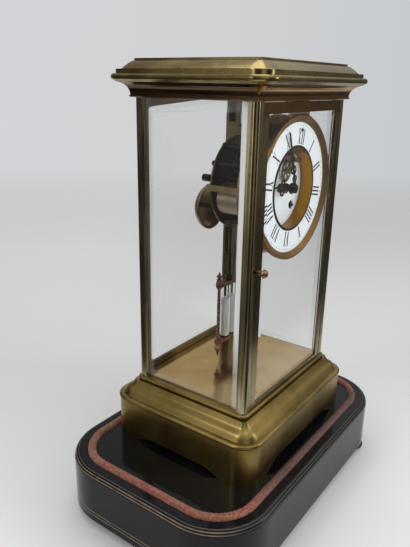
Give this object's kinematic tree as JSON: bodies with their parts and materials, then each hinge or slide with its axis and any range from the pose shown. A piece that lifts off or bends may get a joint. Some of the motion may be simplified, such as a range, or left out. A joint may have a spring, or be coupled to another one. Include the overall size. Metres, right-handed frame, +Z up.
{
  "type": "crystal regulator clock",
  "caption": "Glass-sided brass mantel clock with an enamel dial, visible escapement and mercury pendulum, on a black plinth with rounded ends.",
  "frame": {"origin": "middle of the plinth's footprint, on the surface that its bun feet stand on", "axes": "+Z up, -Y out of the dial, +X to the right of someone facing the dial"},
  "size_m": [0.2728, 0.1818, 0.3595],
  "materials": {
    "ebonised_wood": "black lacquer polish",
    "line_inlay": "dull gilt",
    "chenille": "worn pile",
    "case_brass": "aged polish",
    "floor_brass": "polished",
    "glass": "polished, bevelled",
    "dial_gilt": "matte gilt",
    "enamel": "gloss",
    "hand_bronze": "dark patina",
    "movement_brass": "aged",
    "drum_brass": "dark patina",
    "steel": "bright",
    "bell_metal": "grey-brown",
    "mercury": "liquid mirror"
  },
  "bodies": {
    "case": {"plinth_board": "ebonised_wood", "plinth_lines": "line_inlay", "chenille_ring": "chenille", "bun_feet": "ebonised_wood", "base_casting": "case_brass", "base_cap": "case_brass", "ring_moulding": "case_brass", "floor_plate": "floor_brass", "post_front_left": "case_brass", "post_front_right": "case_brass", "post_back_left": "case_brass", "post_back_right": "case_brass", "post_nuts": "steel", "cornice_frame": "case_brass", "cornice_lid": "case_brass", "side_glass_left": "glass", "side_glass_right": "glass", "dial_bezel": "dial_gilt", "dial_drum": "drum_brass", "dial_plate": "movement_brass", "chapter_ring": "enamel", "well_ring": "dial_gilt", "dial_centre": "enamel", "front_plate": "movement_brass", "back_plate": "movement_brass", "plate_pillars": "movement_brass", "movement_straps": "movement_brass", "movement_screws": "steel", "escapement_cock": "movement_brass", "suspension_cock": "movement_brass", "bell_stand": "movement_brass", "bell": "bell_metal"},
    "front_door": {"front_door_frame": "case_brass", "front_door_glass": "glass"},
    "front_latch": {"front_knob": "case_brass"},
    "back_door": {"back_door_frame": "case_brass", "back_door_glass": "glass"},
    "back_latch": {"back_knob": "case_brass"},
    "minute_motion": {"minute_hand": "hand_bronze"},
    "hour_motion": {"hour_hand": "hand_bronze"},
    "minute_wheel_body": {"minute_wheel": "movement_brass"},
    "going_barrel_body": {"going_barrel": "movement_brass"},
    "going_arbor_body": {"going_arbor": "steel"},
    "strike_barrel_body": {"strike_barrel": "movement_brass"},
    "strike_arbor_body": {"strike_arbor": "steel"},
    "middle_body": {"middle_wheel": "movement_brass"},
    "centre_body": {"centre_wheel": "movement_brass"},
    "third_body": {"third_wheel": "movement_brass"},
    "escape_body": {"escape_wheel": "movement_brass"},
    "second_body": {"second_wheel": "movement_brass"},
    "pin_body": {"pin_wheel": "movement_brass"},
    "fly_body": {"fly": "movement_brass"},
    "anchor_body": {"anchor": "steel"},
    "pendulum": {"pendulum_rod": "movement_brass", "pendulum_frame": "movement_brass", "mercury_vials": "glass", "mercury": "mercury"},
    "hammer_body": {"hammer": "steel"},
    "regulator_body": {"regulator_arbor": "steel"}
  },
  "joints": [
    {"name": "front_door_swing", "type": "hinge", "parent": "case", "child": "front_door", "pos_m": [0.063, -0.0489, 0.219], "axis": [0, 0, 1], "range_deg": [0, 95]},
    {"name": "front_latch_turn", "type": "hinge", "parent": "front_door", "child": "front_latch", "pos_m": [-0.05175, -0.0503, 0.216], "axis": [0, -1, 0], "range_deg": [0, 90]},
    {"name": "back_door_swing", "type": "hinge", "parent": "case", "child": "back_door", "pos_m": [0.063, 0.0543, 0.219], "axis": [0, 0, -1], "range_deg": [0, 95]},
    {"name": "back_latch_turn", "type": "hinge", "parent": "back_door", "child": "back_latch", "pos_m": [-0.05175, 0.0557, 0.216], "axis": [0, -1, 0], "range_deg": [0, 90]},
    {"name": "minute_hand_turn", "type": "hinge", "parent": "case", "child": "minute_motion", "pos_m": [0.0047, -0.0373, 0.268], "axis": [0, 1, 0], "continuous": true},
    {"name": "hour_hand_turn", "type": "hinge", "parent": "case", "child": "hour_motion", "pos_m": [0.0047, -0.0353, 0.268], "axis": [0, 1, 0], "continuous": true},
    {"name": "minute_wheel_turn", "type": "hinge", "parent": "case", "child": "minute_wheel_body", "pos_m": [-0.00316, -0.0293, 0.26249], "axis": [0, 1, 0], "continuous": true},
    {"name": "escape_wheel_turn", "type": "hinge", "parent": "case", "child": "escape_body", "pos_m": [0.00696, -0.0073, 0.2808], "axis": [0, 1, 0], "continuous": true},
    {"name": "third_wheel_turn", "type": "hinge", "parent": "case", "child": "third_body", "pos_m": [0.01634, -0.0073, 0.27332], "axis": [0, 1, 0], "continuous": true},
    {"name": "centre_wheel_turn", "type": "hinge", "parent": "case", "child": "centre_body", "pos_m": [0.0047, -0.0073, 0.268], "axis": [0, 1, 0], "continuous": true},
    {"name": "middle_wheel_turn", "type": "hinge", "parent": "case", "child": "middle_body", "pos_m": [0.00635, -0.0073, 0.25531], "axis": [0, 1, 0], "continuous": true},
    {"name": "going_barrel_turn", "type": "hinge", "parent": "case", "child": "going_barrel_body", "pos_m": [0.02112, -0.0073, 0.2517], "axis": [0, 1, 0], "continuous": true},
    {"name": "going_arbor_wind", "type": "hinge", "parent": "case", "child": "going_arbor_body", "pos_m": [0.02112, -0.0073, 0.2517], "axis": [0, 1, 0], "continuous": true},
    {"name": "fly_turn", "type": "hinge", "parent": "case", "child": "fly_body", "pos_m": [-0.00054, -0.0073, 0.28559], "axis": [0, 1, 0], "continuous": true},
    {"name": "pin_wheel_turn", "type": "hinge", "parent": "case", "child": "pin_body", "pos_m": [-0.01157, -0.0073, 0.28365], "axis": [0, 1, 0], "continuous": true},
    {"name": "second_wheel_turn", "type": "hinge", "parent": "case", "child": "second_body", "pos_m": [-0.0163, -0.0073, 0.2735], "axis": [0, 1, 0], "continuous": true},
    {"name": "strike_barrel_turn", "type": "hinge", "parent": "case", "child": "strike_barrel_body", "pos_m": [-0.0163, -0.0073, 0.2583], "axis": [0, 1, 0], "continuous": true},
    {"name": "strike_arbor_wind", "type": "hinge", "parent": "case", "child": "strike_arbor_body", "pos_m": [-0.0163, -0.0073, 0.2583], "axis": [0, 1, 0], "continuous": true},
    {"name": "pendulum_swing", "type": "hinge", "parent": "case", "child": "pendulum", "pos_m": [0.0093, 0.0147, 0.2941], "axis": [0, 1, 0], "range_deg": [-4.5, 4.5]},
    {"name": "anchor_rock", "type": "hinge", "parent": "case", "child": "anchor_body", "pos_m": [0.0093, -0.0173, 0.2941], "axis": [0, 1, 0], "range_deg": [-4.5, 4.5]},
    {"name": "hammer_lift", "type": "hinge", "parent": "case", "child": "hammer_body", "pos_m": [-0.02276, 0.0027, 0.28503], "axis": [0, -1, 0], "range_deg": [0, 18], "stiffness_Nm_per_rad": 0.003, "springref_deg": -11.46},
    {"name": "regulator_turn", "type": "hinge", "parent": "case", "child": "regulator_body", "pos_m": [0.01234, -0.0173, 0.31133], "axis": [0, 1, 0], "continuous": true}
  ],
  "couplings": [
    {"joint": "hour_hand_turn", "follows": "minute_hand_turn", "ratio": 0.083333},
    {"joint": "minute_wheel_turn", "follows": "minute_hand_turn", "ratio": -0.33333},
    {"joint": "third_wheel_turn", "follows": "escape_wheel_turn", "ratio": -0.15385},
    {"joint": "centre_wheel_turn", "follows": "escape_wheel_turn", "ratio": 0.021978},
    {"joint": "middle_wheel_turn", "follows": "escape_wheel_turn", "ratio": -0.00407},
    {"joint": "going_barrel_turn", "follows": "escape_wheel_turn", "ratio": 0.00061667},
    {"joint": "pin_wheel_turn", "follows": "fly_turn", "ratio": -0.16667},
    {"joint": "second_wheel_turn", "follows": "fly_turn", "ratio": 0.027778},
    {"joint": "strike_barrel_turn", "follows": "fly_turn", "ratio": -0.0042088},
    {"joint": "anchor_rock", "follows": "pendulum_swing", "ratio": 1}
  ]
}
